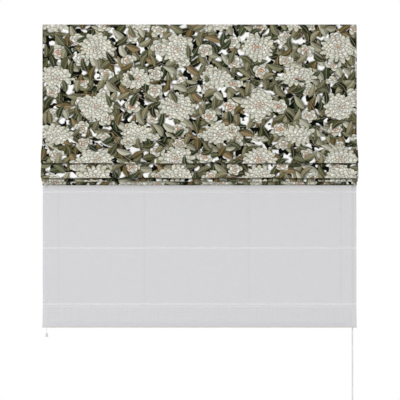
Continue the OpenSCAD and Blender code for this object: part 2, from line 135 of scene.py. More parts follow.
def join(tree, value, socket):
    """Links a socket, or sets a number or colour on it."""
    if isinstance(value, Number):
        tree.links.new(value.socket, socket)
    elif isinstance(value, bpy.types.NodeSocket):
        tree.links.new(value, socket)
    else:
        socket.default_value = value


def set_inputs(tree, node, inputs):
    for key, value in inputs.items():
        join(tree, value, node.inputs[key])


def add_node(tree, kind, inputs=None, **settings):
    node = tree.nodes.new(kind)
    for key, value in settings.items():
        setattr(node, key, value)
    set_inputs(tree, node, inputs or {})
    return node


class Number:
    """A number in a shader tree, so that a formula reads as a formula."""

    def __init__(self, tree, socket):
        self.tree = tree
        self.socket = socket

    def do(self, operation, *others):
        node = add_node(self.tree, "ShaderNodeMath", operation=operation)
        for socket, value in zip(node.inputs, (self, *others)):
            join(self.tree, value, socket)
        return Number(self.tree, node.outputs[0])

    def __add__(self, other):
        return self.do("ADD", other)

    __radd__ = __add__

    def __mul__(self, other):
        return self.do("MULTIPLY", other)

    __rmul__ = __mul__

    def __sub__(self, other):
        return self.do("SUBTRACT", other)

    def __rsub__(self, other):
        return (self * -1.0) + other

    def __truediv__(self, other):
        return self.do("DIVIDE", other)

    def __pow__(self, other):
        return self.do("POWER", other)

    def sin(self):
        return self.do("SINE")

    def cos(self):
        return self.do("COSINE")

    def floor(self):
        return self.do("FLOOR")

    def abs(self):
        return self.do("ABSOLUTE")

    def at_least(self, low):
        return self.do("MAXIMUM", low)

    def at_most(self, high):
        return self.do("MINIMUM", high)

    def step(self, start, end):
        """From 0 at start to 1 at end, smoothly."""
        ends = {"Value": self, "From Min": start, "From Max": end}
        node = add_node(self.tree, "ShaderNodeMapRange", ends, interpolation_type="SMOOTHSTEP")
        return Number(self.tree, node.outputs[0])


def split(tree, vector):
    node = add_node(tree, "ShaderNodeSeparateXYZ", {0: vector})
    return [Number(tree, socket) for socket in node.outputs]


def vector_of(tree, x, y, z=0.0):
    return add_node(tree, "ShaderNodeCombineXYZ", {X: x, Y: y, Z: z}).outputs[0]


def object_place(tree):
    return add_node(tree, "ShaderNodeTexCoord").outputs["Object"]


def cloth_place(tree):
    """The place on the cloth itself, stored in its mesh: across, and along it as a height."""
    stored = add_node(tree, "ShaderNodeAttribute", attribute_name="cloth")
    across, along, _ = split(tree, stored.outputs["Vector"])
    return across, along


def noise(tree, vector, scale, detail=2.0):
    node = add_node(tree, "ShaderNodeTexNoise", {"Vector": vector, "Scale": scale, "Detail": detail})
    return Number(tree, node.outputs[0])


def chance(tree, x, y):
    """A random number from 0 to 1 for each pair of numbers."""
    pair = {"Vector": vector_of(tree, x, y)}
    node = add_node(tree, "ShaderNodeTexWhiteNoise", pair, noise_dimensions="2D")
    return Number(tree, node.outputs["Value"])


def mix(tree, share, first, second):
    # A mix node has inputs of each kind, and those for colours come at 6 and 7.
    colours = {0: share, 6: first, 7: second}
    return add_node(tree, "ShaderNodeMix", colours, data_type="RGBA").outputs[2]


def scaled(tree, colour, by):
    inputs = {0: colour, "Scale": by}
    return add_node(tree, "ShaderNodeVectorMath", inputs, operation="SCALE").outputs[0]


def pick_colour(tree, share, colours):
    """One of some colours, by a number from 0 to 1."""
    node = add_node(tree, "ShaderNodeValToRGB", {0: share})
    stops = node.color_ramp
    stops.interpolation = "CONSTANT"
    while len(stops.elements) < len(colours):
        stops.elements.new(0.5)
    for i, colour in enumerate(colours):
        stops.elements[i].position = i / len(colours)
        stops.elements[i].color = colour
    return node.outputs[0]


def bump(tree, height, distance, strength=0.5):
    inputs = {"Height": height, "Strength": strength, "Distance": distance}
    return add_node(tree, "ShaderNodeBump", inputs).outputs[0]


def weave(x, y, pitch):
    """Threads that go over and under each other, as a height from 0 to 1."""
    across = (x * (FULL_TURN / pitch)).sin()
    along = (y * (FULL_TURN / pitch)).sin()
    return across * along * 0.5 + 0.5


def new_material(name):
    made = bpy.data.materials.new(name)
    made.use_nodes = True
    return made, made.node_tree, made.node_tree.nodes["Principled BSDF"]


# Finishes of the fittings, tapes and cords.


def smooth_finish(name, colour, rough, drift=0.06):
    """A moulded or painted surface: its tone drifts a little and it has a fine grain."""
    made, tree, shader = new_material(name)
    place = object_place(tree)
    slow = noise(tree, place, scale=14.0, detail=3.0)
    grain = noise(tree, place, scale=900.0)
    set_inputs(tree, shader, {
        "Base Color": mix(tree, slow, toned(colour, 1 - drift), toned(colour, 1 + drift)),
        "Roughness": (grain - 0.5) * 0.12 + rough,
        "Normal": bump(tree, grain, 0.04 * MM),
    })
    return made


def rolled_metal(name, colour, rough):
    """Zinc-plated or drawn metal, with streaks along its length."""
    along, around = 12.0, 900.0
    made, tree, shader = new_material(name)
    x, y, z = split(tree, object_place(tree))
    streaks = noise(tree, vector_of(tree, x * along, y * around, z * around), scale=1.0, detail=3.0)
    set_inputs(tree, shader, {
        "Base Color": mix(tree, streaks, toned(colour, 0.86), colour),
        "Roughness": (streaks - 0.5) * 0.2 + rough,
        "Metallic": 1.0,
        "Normal": bump(tree, streaks, 0.03 * MM, 0.3),
    })
    return made


def woven(name, colour, threads_at, pitch, deep, rough, depth, strength=0.5):
    """Plain woven or braided stuff. threads_at gives the two directions of its threads from x, y and z."""
    made, tree, shader = new_material(name)
    threads = weave(*threads_at(*split(tree, object_place(tree))), pitch)
    set_inputs(tree, shader, {
        "Base Color": mix(tree, threads, toned(colour, deep), colour),
        "Roughness": rough,
        "Normal": bump(tree, threads, depth, strength),
    })
    return made


def upright_threads(x, _, z):
    return x, z


def folded_threads(x, y, z):
    return x, z + y


def plaits(x, y, z):
    """Strands that slant to either side round an upright cord."""
    slant = x * 1.2 + y * 0.7
    return z + slant, z - slant


# The print: a dark and white ground, leaves in layers and two kinds of blossoms.

OLIVES = [rgb(111, 109, 80), rgb(79, 80, 49), rgb(136, 130, 99), rgb(59, 68, 42), rgb(104, 89, 51),
          rgb(150, 146, 116)]
GREYS = [rgb(160, 158, 134), rgb(126, 124, 95), rgb(174, 173, 153), rgb(136, 117, 82), rgb(106, 108, 82),
         rgb(190, 188, 168)]
TWIGS = [rgb(118, 84, 54), rgb(92, 70, 42), rgb(142, 100, 66)]
GREENS = [rgb(47, 55, 37), rgb(84, 90, 60), rgb(40, 42, 19), rgb(96, 95, 64), rgb(66, 68, 40),
          rgb(120, 115, 84)]
GROUND_DARK, GROUND_WHITE = rgb(8, 10, 5), rgb(246, 246, 243)
MIDRIB = rgb(196, 192, 172)
CREAM, LINEN, CHALK = rgb(226, 223, 208), rgb(209, 207, 190), rgb(243, 241, 232)
DUSK, MOSS, BARK = rgb(132, 128, 102), rgb(100, 98, 70), rgb(82, 71, 42)
PETAL_GREY, PETAL_ORANGE = rgb(194, 200, 188), rgb(196, 122, 74)

# A layer of leaves: its direction, a leaf's length and width, the cell that holds one, a shift and colours.
UNDER_LEAVES = [
    (0.35, (76 * MM, 29 * MM), (84 * MM, 45 * MM), (0.0, 0.0), GREENS),
    (1.45, (72 * MM, 28 * MM), (83 * MM, 49 * MM), (0.31, 0.17), OLIVES),
    (-0.6, (104 * MM, 4.2 * MM), (118 * MM, 64 * MM), (0.77, 0.29), TWIGS),
    (2.55, (70 * MM, 27 * MM), (86 * MM, 53 * MM), (0.53, 0.71), GREYS),
]
MIDDLE_LEAVES = (0.95, (60 * MM, 23 * MM), (108 * MM, 72 * MM), (0.13, 0.57), OLIVES)
OVER_LEAVES = (2.1, (56 * MM, 20 * MM), (152 * MM, 128 * MM), (0.41, 0.05), GREENS)

# A layout of blossoms: distances of columns and rows, a shift, how far a blossom strays, how flat it is
# drawn, and a number that sets it apart.
SMALL_LAYOUT = (104 * MM, 97 * MM, (0.21, 0.4), 30 * MM, 0.88, 11.0)
LARGE_LAYOUT = (168 * MM, 262 * MM, (0.05, 0.3), 12 * MM, 0.8, 3.0)

# A ring of petals: its reach, how many, how far it is turned, and the colours of the tips and the depths.
SMALL_RINGS = [
    (37 * MM, 5, 0.0, LINEN, MOSS),
    (26 * MM, 5, 0.5, CHALK, DUSK),
    (12 * MM, 4, 0.1, CREAM, BARK),
]
LARGE_RINGS = [
    (81 * MM, 17, 0.0, LINEN, MOSS),
    (69 * MM, 15, 0.5, CREAM, DUSK),
    (58 * MM, 13, 0.2, CREAM, MOSS),
    (47 * MM, 11, 0.7, CHALK, DUSK),
    (36 * MM, 9, 0.1, CREAM, MOSS),
    (25 * MM, 7, 0.6, CHALK, DUSK),
    (14 * MM, 5, 0.3, CREAM, BARK),
]


def scatter(tree, spot, feature):
    """Points scattered over the cloth, one in each cell."""
    inputs = {"Vector": spot, "Scale": 1.0, "Randomness": 0.62}
    return add_node(tree, "ShaderNodeTexVoronoi", inputs, voronoi_dimensions="2D", feature=feature)


def leaves(tree, x, height, below, layer):
    """A layer of leaves, all near one direction, each with two halves, veins, a midrib and a shadow."""
    angle, (long, wide), cell, shift, colours = layer
    spread, bend, taper = 1.1, 22 * MM, 0.3
    vein_pitch, vein_slant = 7.8 * MM, 1.4

    # The place counted in cells, and the middle and three random numbers of the leaf that is there.
    cos_angle, sin_angle = math.cos(angle), math.sin(angle)
    cell_x = (x * cos_angle + height * sin_angle + shift[0]) / cell[0]
    cell_y = (height * cos_angle - x * sin_angle + shift[1]) / cell[1]
    spot = vector_of(tree, cell_x, cell_y)
    cells = scatter(tree, spot, "F1")
    border = Number(tree, scatter(tree, spot, "DISTANCE_TO_EDGE").outputs["Distance"])
    middle_x, middle_y, _ = split(tree, cells.outputs["Position"])
    pick, lean, bow = split(tree, cells.outputs["Color"])

    # The place within the leaf, along its midrib and across it.
    away_x = (cell_x - middle_x) * cell[0]
    away_y = (cell_y - middle_y) * cell[1]
    turn = (lean - 0.5) * spread
    cos_turn, sin_turn = turn.cos(), turn.sin()
    rib_way = away_x * cos_turn + away_y * sin_turn
    along = rib_way / (long / 2)
    swell = (1.0 - along * along).at_least(0.0)
    across = away_y * cos_turn - away_x * sin_turn + (bow - 0.5) * swell * bend
    off_rib = across.abs()

    # How far inside the leaf's edge the place is.
    half = (swell ** 0.8) * (1.0 - along * taper) * (wide / 2)
    past_tip = (along.abs() - 1.0).at_least(0.0) * (long / 2)
    inside = (half - off_rib - past_tip).do("SMOOTH_MIN", border * min(cell), 6 * MM)

    halves = across.step(-1.2 * MM, 1.2 * MM) * 0.46 + 0.66
    veins = ((rib_way - off_rib * vein_slant) * (FULL_TURN / vein_pitch)).sin() * 0.09
    rim = (1.0 - inside.step(0.4 * MM, 2.6 * MM)) * 0.22
    tone = halves * (along * 0.16 + 0.94) + veins - rim
    colour = scaled(tree, pick_colour(tree, pick, colours), tone)
    rib = (1.0 - off_rib.step(0.4 * MM, 1.2 * MM)) * 0.42
    colour = mix(tree, rib, colour, MIDRIB)
    shadow = 1.0 - inside.step(-7 * MM, 0.5 * MM) * 0.55
    return mix(tree, inside.step(0.0, 0.7 * MM), scaled(tree, below, shadow), colour)


def petals(tree, below, away, turn, ident, ring):
    """One ring of petals: round uneven tips, dark between petals, some grey and some tinged at the base."""
    reach, count, offset, pale, deep = ring
    hollow, uneven, fold_count = 0.96, 0.24, 2.5

    # The petal's number, its two random numbers, and the place across it, which is 0 at its middle.
    counted = turn * float(count) + offset
    number = counted.floor()
    across = counted - number - 0.5
    number = number.do("FLOORED_MODULO", float(count))
    luck = chance(tree, number + reach * 977.0, ident)
    hue = chance(tree, number + reach * 531.0, ident)
    inside = (1.0 - across * across * hollow - luck * uneven) * reach - away
    out = away / reach

    body = 1.0 - across.abs().step(0.22, 0.5)
    light = out.step(0.2, 0.95) * 0.66 + 0.3
    folds = (across * (FULL_TURN * fold_count)).cos() * 0.05
    share = light * (body * 0.66 + 0.4) + folds + luck * 0.32 - 0.1
    colour = mix(tree, share.at_least(0.0).at_most(1.0), deep, pale)
    colour = mix(tree, hue.step(0.45, 0.55) * 0.35, colour, PETAL_GREY)
    tinged = luck.step(0.68, 0.72) * (1.0 - out.step(0.45, 0.7)) * 0.7
    colour = mix(tree, tinged, colour, PETAL_ORANGE)
    edge = 1.0 - (1.0 - inside.step(0.2 * MM, 1.8 * MM)) * 0.2
    shadow = 1.0 - inside.step(-6.5 * MM, 0.4 * MM) * 0.5
    shown = scaled(tree, colour, edge)
    return mix(tree, inside.step(0.0, 0.6 * MM), scaled(tree, below, shadow), shown)


def blossoms(tree, x, height, below, layout, rings):
    """Blossoms laid like bricks, each a little out of place and out of round, with rings of petals."""
    columns, rows, phase, stray, flat, seed = layout
    waver = 16 * MM

    # The place counted in columns and rows, and the number of the blossom that is there.
    cell_x = x / columns + phase[0]
    column = cell_x.floor()
    odd = column * 0.5 - (column * 0.5).floor()
    cell_y = height / rows + odd + phase[1]
    row = cell_y.floor()
    ident = column * 7.31 + row * 3.17 + seed

    # The place seen from the blossom's middle, as a distance and a share of a turn.
    spot = vector_of(tree, x, height, seed)
    away_x = (cell_x - column - 0.5) * columns + (chance(tree, ident, 1.7) - 0.5) * stray
    away_y = (cell_y - row - 0.5) * rows + (chance(tree, ident, 5.3) - 0.5) * stray
    away_x = away_x + (noise(tree, spot, scale=34.0, detail=1.0) - 0.5) * waver
    away_y = (away_y + (noise(tree, spot, scale=29.0, detail=1.0) - 0.5) * waver) / flat
    away = (away_x * away_x + away_y * away_y).do("SQRT")
    turn = away_y.do("ARCTAN2", away_x) / FULL_TURN + chance(tree, ident, 9.1)
    turn = turn - turn.floor()
    for ring in rings:
        below = petals(tree, below, away, turn, ident, ring)
    return below


def floral():
    """The print as a group: a place on the cloth goes in, its colour comes out."""
    tree = bpy.data.node_groups.new("floral_print", "ShaderNodeTree")
    tree.interface.new_socket("Place", in_out="INPUT", socket_type="NodeSocketVector")
    tree.interface.new_socket("Colour", in_out="OUTPUT", socket_type="NodeSocketColor")
    place = add_node(tree, "NodeGroupInput").outputs[0]
    x, height, _ = split(tree, place)
    patches = noise(tree, place, scale=31.0, detail=1.0).step(0.45, 0.49)
    colour = mix(tree, patches, GROUND_DARK, GROUND_WHITE)
    for layer in UNDER_LEAVES:
        colour = leaves(tree, x, height, colour, layer)
    colour = blossoms(tree, x, height, colour, SMALL_LAYOUT, SMALL_RINGS)
    colour = leaves(tree, x, height, colour, MIDDLE_LEAVES)
    colour = blossoms(tree, x, height, colour, LARGE_LAYOUT, LARGE_RINGS)
    colour = leaves(tree, x, height, colour, OVER_LEAVES)
    add_node(tree, "NodeGroupOutput", {0: colour})
    return tree


# Cloths.

COTTON_THREAD, VOILE_THREAD, TAPE_THREAD, CORD_PLAIT = 1.1 * MM, 0.9 * MM, 1.2 * MM, 2.2 * MM
# How much cloth is taken up at a seam under a rod, and how far the seam lies below the rod.
TUCK = 24 * MM
SEAM_UNDER_ROD = 4.6
SEAMS = [(z - SEAM_UNDER_ROD) * MM for z in FRONT_RODS[:2]]
SIDE_HEM = 20.0
FOLD_ABOVE_EDGE = 3.0
STRIP_COVER = 0.97
SIDE_TONE, STRIP_TONE, FOLD_TONE = rgb(205, 205, 208), rgb(220, 220, 223), rgb(206, 196, 190)
PRINT = floral()


def printed_cotton(name, by_height, shaded=()):
    """The printed cloth. Where it hangs flat, the print lies by height; in the pleats, along the cloth.

    It breaks at each seam, where a tuck is taken up for a rod. It has painted shade in a narrow line along
    each seam and along narrow bands, such as those just below its folds and at its bottom edge."""
    made, tree, shader = new_material(name)
    x, along = cloth_place(tree)
    height = split(tree, object_place(tree))[Z] if by_height else along
    threads = weave(x, height, COTTON_THREAD)
    tone = threads * 0.1 + 0.93
    # At each seam the print breaks, and a narrow darker line along the seam is painted shade.
    for seam in SEAMS:
        height = height - along.do("LESS_THAN", seam) * TUCK
        tone = tone * ((along - seam).abs().step(0.6 * MM, 1.6 * MM) * 0.25 + 0.75)
    # Painted shade along each band: where a pleat comes out below a fold, and at the bottom edge.
    for band in shaded:
        tone = tone * ((along - band).abs().step(3 * MM, 6.5 * MM) * 0.5 + 0.5)
    group = add_node(tree, "ShaderNodeGroup", node_tree=PRINT)
    join(tree, vector_of(tree, x, height), group.inputs[0])
    set_inputs(tree, shader, {
        "Base Color": scaled(tree, group.outputs[0], tone),
        "Roughness": 0.95,
        "Specular IOR Level": 0.06,
        "Normal": bump(tree, threads, 0.12 * MM, 0.4),
    })
    return made


def voile(name, colour, cover, strips=(), fold=None):
    """Sheer cloth: an open weave with thick threads here and there, denser along its side hems.

    It is denser and whiter along the strips where sleeves are sewn on, and tinged below a fold's height."""
    fine, drawn_out = 420.0, 9.0
    made, tree, shader = new_material(name)
    x, _, z = split(tree, object_place(tree))
    upright = noise(tree, vector_of(tree, x * fine, z * drawn_out), 1.0)
    level = noise(tree, vector_of(tree, x * drawn_out, z * fine), 1.0)
    slubs = (upright + level) * 0.5
    threads = weave(x, z, VOILE_THREAD)
    side = x.abs().step((SHEER_HALF - SIDE_HEM - 1) * MM, (SHEER_HALF - SIDE_HEM) * MM)
    tone = mix(tree, slubs, toned(colour, 0.9), colour)
    dense = (slubs - 0.5) * 0.32 + (threads - 0.5) * 0.1 + side * 0.1 + cover
    if strips:
        _, along = cloth_place(tree)
        strip = sum(1.0 - (along - height).abs().step(2.6 * MM, 3.1 * MM) for height in strips)
        tone = mix(tree, strip, mix(tree, side, tone, SIDE_TONE), STRIP_TONE)
        dense = dense + side * 0.17
        dense = dense + strip * (STRIP_COVER - dense)
    if fold is not None:
        tone = mix(tree, 1.0 - z.step(fold, fold + 1.5 * MM), tone, FOLD_TONE)
    set_inputs(tree, shader, {
        "Base Color": tone,
        "Alpha": dense,
        "Roughness": 0.9,
        "Specular IOR Level": 0.2,
        "Normal": bump(tree, threads, 0.1 * MM, 0.3),
    })
    return made


lining = woven("lining_cotton", rgb(226, 224, 216), folded_threads, COTTON_THREAD,
               deep=0.93, rough=0.92, depth=0.12 * MM, strength=0.4)
voile_panel = voile("voile_panel", rgb(183, 183, 187), 0.64, strips=[z * MM for z in SHEER_RODS])
voile_hem = voile("voile_hem", rgb(221, 221, 224), 0.8, fold=(SHEER_BOTTOM + FOLD_ABOVE_EDGE) * MM)
voile_sleeve = voile("voile_sleeve", rgb(228, 228, 229), 0.5)
rail_white = smooth_finish("rail_white", rgb(232, 232, 229), 0.42)
white_plastic = smooth_finish("white_plastic", rgb(226, 226, 221), 0.48)
rod_plastic = smooth_finish("rod_plastic", rgb(240, 240, 237), 0.4, drift=0.03)
bell_plastic = smooth_finish("bell_plastic", rgb(206, 206, 205), 0.4)
chain_plastic = smooth_finish("chain_plastic", rgb(224, 221, 219), 0.36)
dark_plastic = smooth_finish("dark_plastic", rgb(70, 72, 74), 0.5)
zinc = rolled_metal("zinc_steel", rgb(198, 200, 203), 0.38)
bar_white = smooth_finish("bar_white", rgb(242, 242, 242), 0.45, drift=0.03)
tape = woven("tape_white", rgb(224, 224, 220), upright_threads, TAPE_THREAD,
             deep=0.82, rough=0.95, depth=0.3 * MM, strength=0.8)
cord_white = woven("cord_white", rgb(224, 222, 216), plaits, CORD_PLAIT, deep=0.8, rough=0.85, depth=0.1 * MM)


# Meshes.


def mesh_object(name, points, faces, materials, picks=None, smooth=True, place=None):
    data = bpy.data.meshes.new(name)
    data.from_pydata([tuple(map(float, p)) for p in points], [], [tuple(map(int, f)) for f in faces])
    for material in materials:
        data.materials.append(material)
    if picks is not None:
        data.polygons.foreach_set("material_index", np.asarray(picks, np.int32))
    data.polygons.foreach_set("use_smooth", np.full(len(data.polygons), smooth))
    if place is not None:
        layer = data.attributes.new("cloth", "FLOAT_VECTOR", "POINT")
        layer.data.foreach_set("vector", np.asarray(place, np.float32).ravel())
    data.validate()
    data.update()
    made = bpy.data.objects.new(name, data)
    bpy.context.scene.collection.objects.link(made)
    return made


def joined(parts):
    """The points and faces of several shapes as those of one."""
    points, faces, first = [], [], 0
    for part_points, part_faces in parts:
        points.append(part_points)
        faces += [[i + first for i in face] for face in part_faces]
        first += len(part_points)
    return np.concatenate(points), faces


def points_of(x, y, z):
    """Points, from coordinates that are numbers or arrays."""
    return np.stack(np.broadcast_arrays(x, y, z), -1).astype(float)


def grid_faces(rows, columns, first=0):
    i = np.arange(rows - 1)[:, None] * columns + np.arange(columns - 1)[None, :] + first
    return np.stack([i, i + columns, i + columns + 1, i + 1], -1).reshape(-1, 4)


def ring_faces(rings, sides):
    """The walls between rings of points, and a face on the first and the last ring."""
    corner = np.arange(sides)
    start = np.arange(rings - 1)[:, None] * sides
    a, b = start + corner, start + (corner + 1) % sides
    walls = np.stack([a, b, b + sides, a + sides], -1).reshape(-1, 4)
    return [*walls, corner[::-1], (rings - 1) * sides + corner]


def tube(path, radius, sides):
    """A round tube along a path, with its rings turned as little as possible."""
    path = np.asarray(path, float)
    along = np.gradient(path, axis=0)
    along /= np.linalg.norm(along, axis=1)[:, None]
    side = np.array([1.0, 0.0, 0.0])
    if abs(along[0] @ side) > 0.9:
        side = np.array([0.0, 1.0, 0.0])
    turns = np.arange(sides) * FULL_TURN / sides
    rings = []
    for point, way in zip(path, along):
        side = side - (side @ way) * way
        side /= np.linalg.norm(side)
        up = np.cross(way, side)
        rings.append(point + radius * (np.cos(turns)[:, None] * side + np.sin(turns)[:, None] * up))
    return np.concatenate(rings), ring_faces(len(path), sides)


def ball(radius, tilts, sides):
    """A ball as level rings, each at a tilt from straight up. A ring at a pole keeps a small width."""
    turns = np.arange(sides) * FULL_TURN / sides
    wide = np.sin(tilts).clip(0.05)
    high = np.outer(np.cos(tilts), np.ones(sides))
    rings = np.stack([np.outer(wide, np.cos(turns)), np.outer(wide, np.sin(turns)), high], -1)
    return radius * rings.reshape(-1, 3), ring_faces(len(tilts), sides)


def bezier(a, b, c, d, count):
    """Points on a curve from a to d, without a."""
    t = (np.arange(count) + 1)[:, None] / count
    a, b, c, d = (np.asarray(p, float) for p in (a, b, c, d))
    return (1 - t) ** 3 * a + 3 * (1 - t) ** 2 * t * b + 3 * (1 - t) * t * t * c + t ** 3 * d


def arc(middle, radius, start, end, count):
    """Points on an arc from one angle to another in degrees, without the first."""
    turn = np.radians(start + (end - start) * (np.arange(count) + 1) / count)
    return np.asarray(middle, float) + radius * np.stack([np.cos(turn), np.sin(turn)], -1)


# The front cloth.

FLAT_ROWS, CLOTH_COLUMNS = 42, 131
# How far the middle line of a pleat stands out from the flat cloth, and how far the pleats reach down.
PLEAT_OUT = FRONT_Y - FRONT_THICK / 2 - extent("front_fabric", Y)[0]
SMALL_OUT = 27.0
PLEAT_DROPS = (116.5, 176.5, 190.5)
PLEAT_TURN, SMALL_TURN, ROD_TURN, HEM_TURN = 5.5, 4.5, 2.0, 2.3
HEM_OUT, HEM_END_BELOW_ROD = 3.0, 24.0
SIDE_TURNED_IN = 28.0
# A pleat is shaded this far below the fold above it.
BAND_BELOW_FOLD = 2.0
# From this height down, the flat cloth hangs a little slack between its rods.
SLACK_FROM = -25.0
FRONT_SLACK = 1.8
# The pleats aren't quite straight where they stand out far enough to be free. A wave has a height, a length
# and a slant, by which it shifts down the cloth.
FREE_FROM, FREE_TO = 6.0, 36.0
WAVE_SHIFT = 23.0
HEIGHT_WAVES = ((0.9, 83, 1.0), (0.6, 37, 2.1))
DEPTH_WAVES = ((1.1, 121, 1.7), (0.5, 51, -1.0))


def pleat(down, turn, rod, rise, inward, counts):
    """A pleat: a curve out and down, the fold at its bottom, the way back up, and round the next rod.

    rise and inward set how full the way back up is, and counts how many points the first three parts have."""
    out, low = down[-1]
    back = out - 2 * turn
    rod_top = rod + ROD_TURN
    return [
        bezier(*down, counts[0]),
        arc((out - turn, low), turn, 0, -180, counts[1]),
        bezier((back, low), (back, low + rise), (inward, rod_top), (ROD_TURN, rod_top), counts[2]),
        arc((ROD_TURN, rod), ROD_TURN, 90, 270, 6),
    ]


def front_path():
    """The cloth's middle line, as distances out from the flat cloth and heights."""
    turns = (PLEAT_TURN, PLEAT_TURN, SMALL_TURN)
    low_1, low_2, low_3 = (CREASE - drop + turn + FRONT_THICK / 2 for drop, turn in zip(PLEAT_DROPS, turns))
    rod_1, rod_2, rod_3 = FRONT_RODS[2:]
    under_1, under_2, under_3 = (rod - ROD_TURN for rod in FRONT_RODS[2:])
    hem_low = FRONT_BOTTOM + HEM_TURN + FRONT_THICK / 2
    flat = np.stack([np.zeros(FLAT_ROWS), np.linspace(FRONT_TOP, CREASE, FLAT_ROWS)], -1)
    # A curve's start and end, with two handles between them that set how full it is.
    first = (0, CREASE), (0, CREASE - 45), (PLEAT_OUT, CREASE - 55), (PLEAT_OUT, low_1)
    second = (ROD_TURN, under_1), (12, under_1), (PLEAT_OUT, low_2 + 19), (PLEAT_OUT, low_2)
    third = (ROD_TURN, under_2), (10, under_2), (SMALL_OUT, low_3 + 19), (SMALL_OUT, low_3)
    last = (ROD_TURN, under_3), (HEM_OUT + 0.5, under_3), (HEM_OUT, rod_3 - 6), (HEM_OUT, rod_3 - 14)
    return np.concatenate([
        flat,
        *pleat(first, PLEAT_TURN, rod_1, rise=25, inward=20, counts=(22, 10, 12)),
        *pleat(second, PLEAT_TURN, rod_2, rise=29, inward=20, counts=(16, 10, 12)),
        *pleat(third, SMALL_TURN, rod_3, rise=19, inward=12, counts=(14, 8, 10)),
        bezier(*last, 5),
        [(HEM_OUT, hem_low)],
        arc((HEM_OUT - HEM_TURN, hem_low), HEM_TURN, 0, -180, 8),
        [(HEM_OUT - 2 * HEM_TURN, rod_3 - HEM_END_BELOW_ROD)],
    ])


def heights_along(path):
    """For each point of the path, the height at which it would be if the cloth hung flat."""
    steps = np.linalg.norm(np.diff(path, axis=0), axis=1)
    return FRONT_TOP - np.concatenate([[0], np.cumsum(steps)])


def shaded_bands(path, run):
    """Where along the cloth painted shade goes: where a pleat comes out from under the fold above it, and at
    the bottom edge.
    """
    height = path[:, 1]
    folds = [i for i in range(1, len(path) - 1) if height[i - 1] > height[i] <= height[i + 1]]
    bands = [run[folds[-1]]]
    for fold, following in zip(folds[:2], folds[1:]):
        under = height[fold] - BAND_BELOW_FOLD
        after = fold + int(np.argmax(height[fold:following] < under))
        before = after - 1
        share = (height[before] - under) / (height[before] - height[after])
        bands.append(run[before] + share * (run[after] - run[before]))
    return [float(band) * MM for band in bands]


def slack(heights, wide, top, low, most, uneven, long):
    """How far a cloth stands out between two heights that hold it, more in some places than in others."""
    share = np.clip((top - heights) / (top - low), 0, 1)
    return most * np.sin(PI * share) ** 2 * (1 + uneven * np.sin(wide / long + low))


def waves(wide, shift, parts):
    return sum(high * np.sin(wide / long + slant * shift) for high, long, slant in parts)


def front_middle(path):
    """The cloth's middle as rows of points: the path drawn out sideways, with slack and uneven pleats."""
    wide = np.tile(np.linspace(-FRONT_HALF, FRONT_HALF, CLOTH_COLUMNS), (len(path), 1))
    out, z = (np.tile(part[:, None], CLOTH_COLUMNS) for part in path.T)
    flat, pleats = slice(FLAT_ROWS), slice(FLAT_ROWS, None)
    for top, low in ((SLACK_FROM, FRONT_RODS[0]), (FRONT_RODS[0], CREASE)):
        out[flat] += slack(z[flat], wide[flat], top, low, FRONT_SLACK, uneven=0.5, long=170)
    free = np.clip((out[pleats] - FREE_FROM) / (FREE_TO - FREE_FROM), 0, 1)
    shift = z[pleats] / WAVE_SHIFT
    z[pleats] += free * waves(wide[pleats], shift, HEIGHT_WAVES)
    out[pleats] += free * waves(wide[pleats], shift, DEPTH_WAVES)
    return points_of(wide, FRONT_Y - out, z)


def shell(middle, thick):
    """A thin closed shell about a surface: its points, and the faces of its front, its back and its rim."""
    rows, columns = middle.shape[:2]
    count = rows * columns
    normal = np.cross(np.gradient(middle, axis=0), np.gradient(middle, axis=1))
    normal *= thick / 2 / np.linalg.norm(normal, axis=2)[..., None]
    points = np.concatenate([(middle + normal).reshape(-1, 3), (middle - normal).reshape(-1, 3)])
    front = grid_faces(rows, columns)
    back = grid_faces(rows, columns, count)[:, ::-1]
    across, down = np.arange(columns), np.arange(rows) * columns
    rim = []
    for edge in (across, down + columns - 1, down[-1] + across[::-1], down[::-1]):
        here, there = edge[:-1], edge[1:]
        rim.append(np.stack([here, there, there + count, here + count], -1))
    return points, front, back, np.concatenate(rim)


def front_cloth(path):
    """The printed front, the lined back with its printed sides turned in, and the rim."""
    middle = front_middle(path)
    points, front, back, rim = shell(middle, FRONT_THICK)
    run = heights_along(path)
    flat_print = printed_cotton("printed_cotton_flat", by_height=True)
    pleat_print = printed_cotton("printed_cotton_pleats", by_height=False, shaded=shaded_bands(path, run))
    materials = [flat_print, pleat_print, lining]
    flat_pick, pleat_pick, lining_pick = range(3)

    rows, columns = middle.shape[:2]
    is_flat = np.repeat(np.arange(rows - 1) < FLAT_ROWS - 1, columns - 1)
    front_pick = np.where(is_flat, flat_pick, pleat_pick)
    x = middle[0, :, X]
    turned_in = np.tile(np.abs((x[:-1] + x[1:]) / 2) > FRONT_HALF - SIDE_TURNED_IN, rows - 1)
    back_pick = np.where(turned_in, front_pick, lining_pick)
    picks = np.concatenate([front_pick, back_pick, np.full(len(rim), pleat_pick)])

    place = points_of(middle[..., X], run[:, None], 0).reshape(-1, 3)
    place = np.concatenate([place, place]) * MM
    faces = np.concatenate([front, back, rim])
    return mesh_object("front_cloth", points * MM, faces, materials, picks, place=place)


SLEEVE_R, SLEEVE_RINGS, SLEEVE_SIDES = 2.35, 66, 14
SLEEVE_IN = 4.0


def sleeves(name, y, heights, half, material):
    """Rod pockets: sleeves of cloth round the rods, sewn to the back of the cloth."""
    x = np.linspace(-half, half, SLEEVE_RINGS)
    parts = [tube(points_of(x, y, z) * MM, SLEEVE_R * MM, SLEEVE_SIDES) for z in heights]
    return mesh_object(name, *joined(parts), [material])


cloth_path = front_path()
cloth = front_cloth(cloth_path)
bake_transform(cloth)
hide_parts("front_fabric")
front_sleeve_half = FRONT_HALF - SLEEVE_IN
front_pocket = sleeves("front_pocket_1", FRONT_ROD_Y, FRONT_RODS[:1], front_sleeve_half, lining)
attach(front_pocket, "front_rod_1")
stack_pockets = sleeves("front_pockets_gathered", FRONT_ROD_Y, FRONT_RODS[1:], front_sleeve_half, lining)
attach(stack_pockets, "front_stack")


# The sheer cloth.

